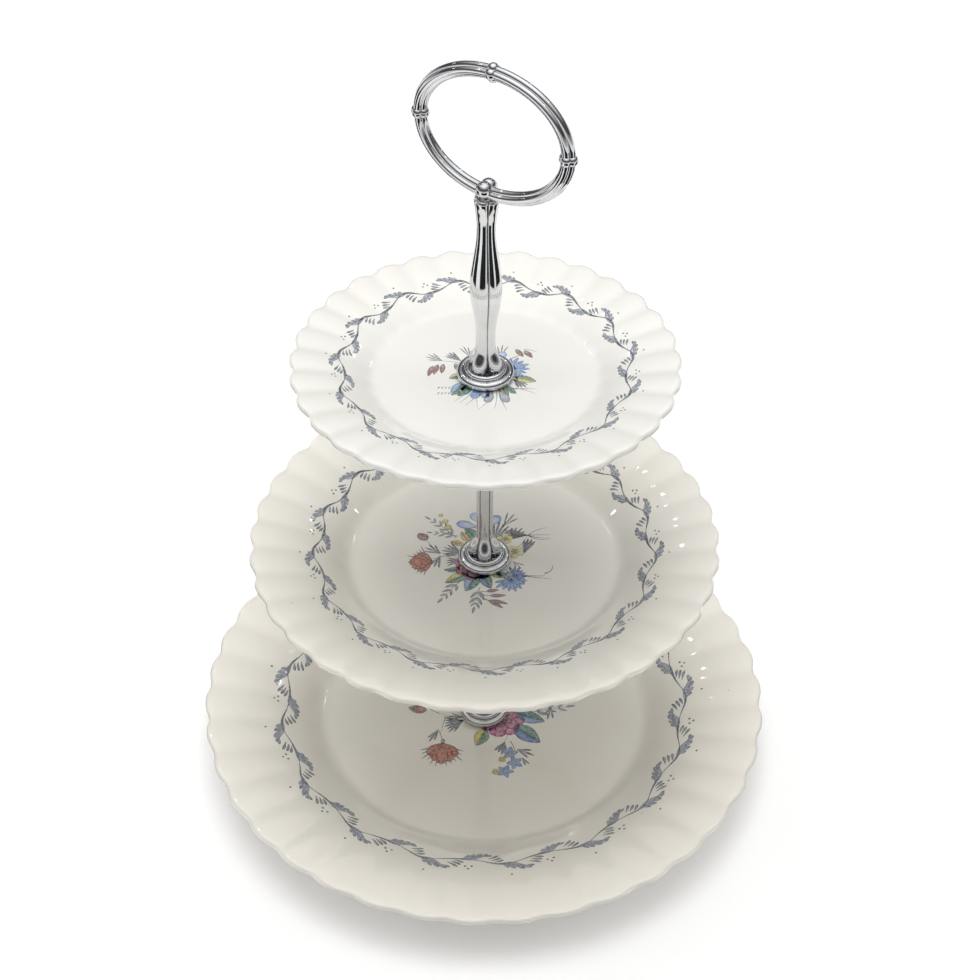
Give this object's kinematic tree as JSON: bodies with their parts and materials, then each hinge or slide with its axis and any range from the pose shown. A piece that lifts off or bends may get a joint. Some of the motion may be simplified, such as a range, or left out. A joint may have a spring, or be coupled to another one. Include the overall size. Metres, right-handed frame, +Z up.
{
  "type": "tiered cake stand",
  "caption": "Tiered cake stand: scalloped, fluted china plates with a vine border, held on a screwed chrome column of reeded rods and stepped collars, with an oval ring handle.",
  "frame": {"origin": "centre of the bottom plate's foot ring, on the table", "axes": "+Z up the column, -Y towards the front, +X to the right seen from the front"},
  "size_m": [0.2677, 0.2678, 0.3545],
  "materials": {
    "china": "off-white glazed china with slate-blue vine and flower decoration",
    "chrome": "bright chrome plate on cast metal",
    "plated_steel": "zinc plated steel thread",
    "soft_washer": "soft pale washer, matt"
  },
  "bodies": {
    "bottom_tier": {"bottom_plate": "china", "bottom_washer_below": "soft_washer", "bottom_washer_above": "soft_washer", "base_washer": "plated_steel", "base_screw": "plated_steel"},
    "bottom_collar": {"bottom_collar": "chrome"},
    "lower_column": {"lower_rod": "chrome", "lower_stud": "plated_steel", "middle_support": "chrome"},
    "middle_tier": {"middle_plate": "china", "middle_washer_below": "soft_washer", "middle_washer_above": "soft_washer"},
    "middle_collar": {"middle_collar": "chrome"},
    "upper_column": {"upper_rod": "chrome", "upper_stud": "plated_steel", "top_support": "chrome"},
    "top_tier": {"top_plate": "china", "top_washer_below": "soft_washer", "top_washer_above": "soft_washer"},
    "top_collar": {"top_collar": "chrome"},
    "handle": {"handle_stem": "chrome", "handle_ring": "chrome"}
  },
  "joints": [
    {"name": "lower_column_turn", "type": "hinge", "parent": "bottom_tier", "child": "bottom_collar", "pos_m": [0, 0, 0.1], "axis": [0, 0, 1], "range_deg": [0, 3600.5]},
    {"name": "lower_column_rise", "type": "slide", "parent": "bottom_collar", "child": "lower_column", "axis": [0, 0, 1], "range_m": [0, 0.007]},
    {"name": "middle_plate_turn", "type": "hinge", "parent": "lower_column", "child": "middle_tier", "pos_m": [0, 0, 0.1], "axis": [0, 0, 1], "continuous": true},
    {"name": "upper_column_turn", "type": "hinge", "parent": "lower_column", "child": "middle_collar", "pos_m": [0, 0, 0.1], "axis": [0, 0, 1], "range_deg": [0, 3600.5]},
    {"name": "upper_column_rise", "type": "slide", "parent": "middle_collar", "child": "upper_column", "axis": [0, 0, 1], "range_m": [0, 0.007]},
    {"name": "top_plate_turn", "type": "hinge", "parent": "upper_column", "child": "top_tier", "pos_m": [0, 0, 0.2], "axis": [0, 0, 1], "continuous": true},
    {"name": "handle_turn", "type": "hinge", "parent": "upper_column", "child": "top_collar", "pos_m": [0, 0, 0.1], "axis": [0, 0, 1], "range_deg": [0, 3600.5]},
    {"name": "handle_rise", "type": "slide", "parent": "top_collar", "child": "handle", "axis": [0, 0, 1], "range_m": [0, 0.007]}
  ],
  "couplings": [
    {"joint": "lower_column_turn", "follows": "lower_column_rise", "rad_per_m": 8976},
    {"joint": "upper_column_turn", "follows": "upper_column_rise", "rad_per_m": 8976},
    {"joint": "handle_turn", "follows": "handle_rise", "rad_per_m": 8976}
  ]
}
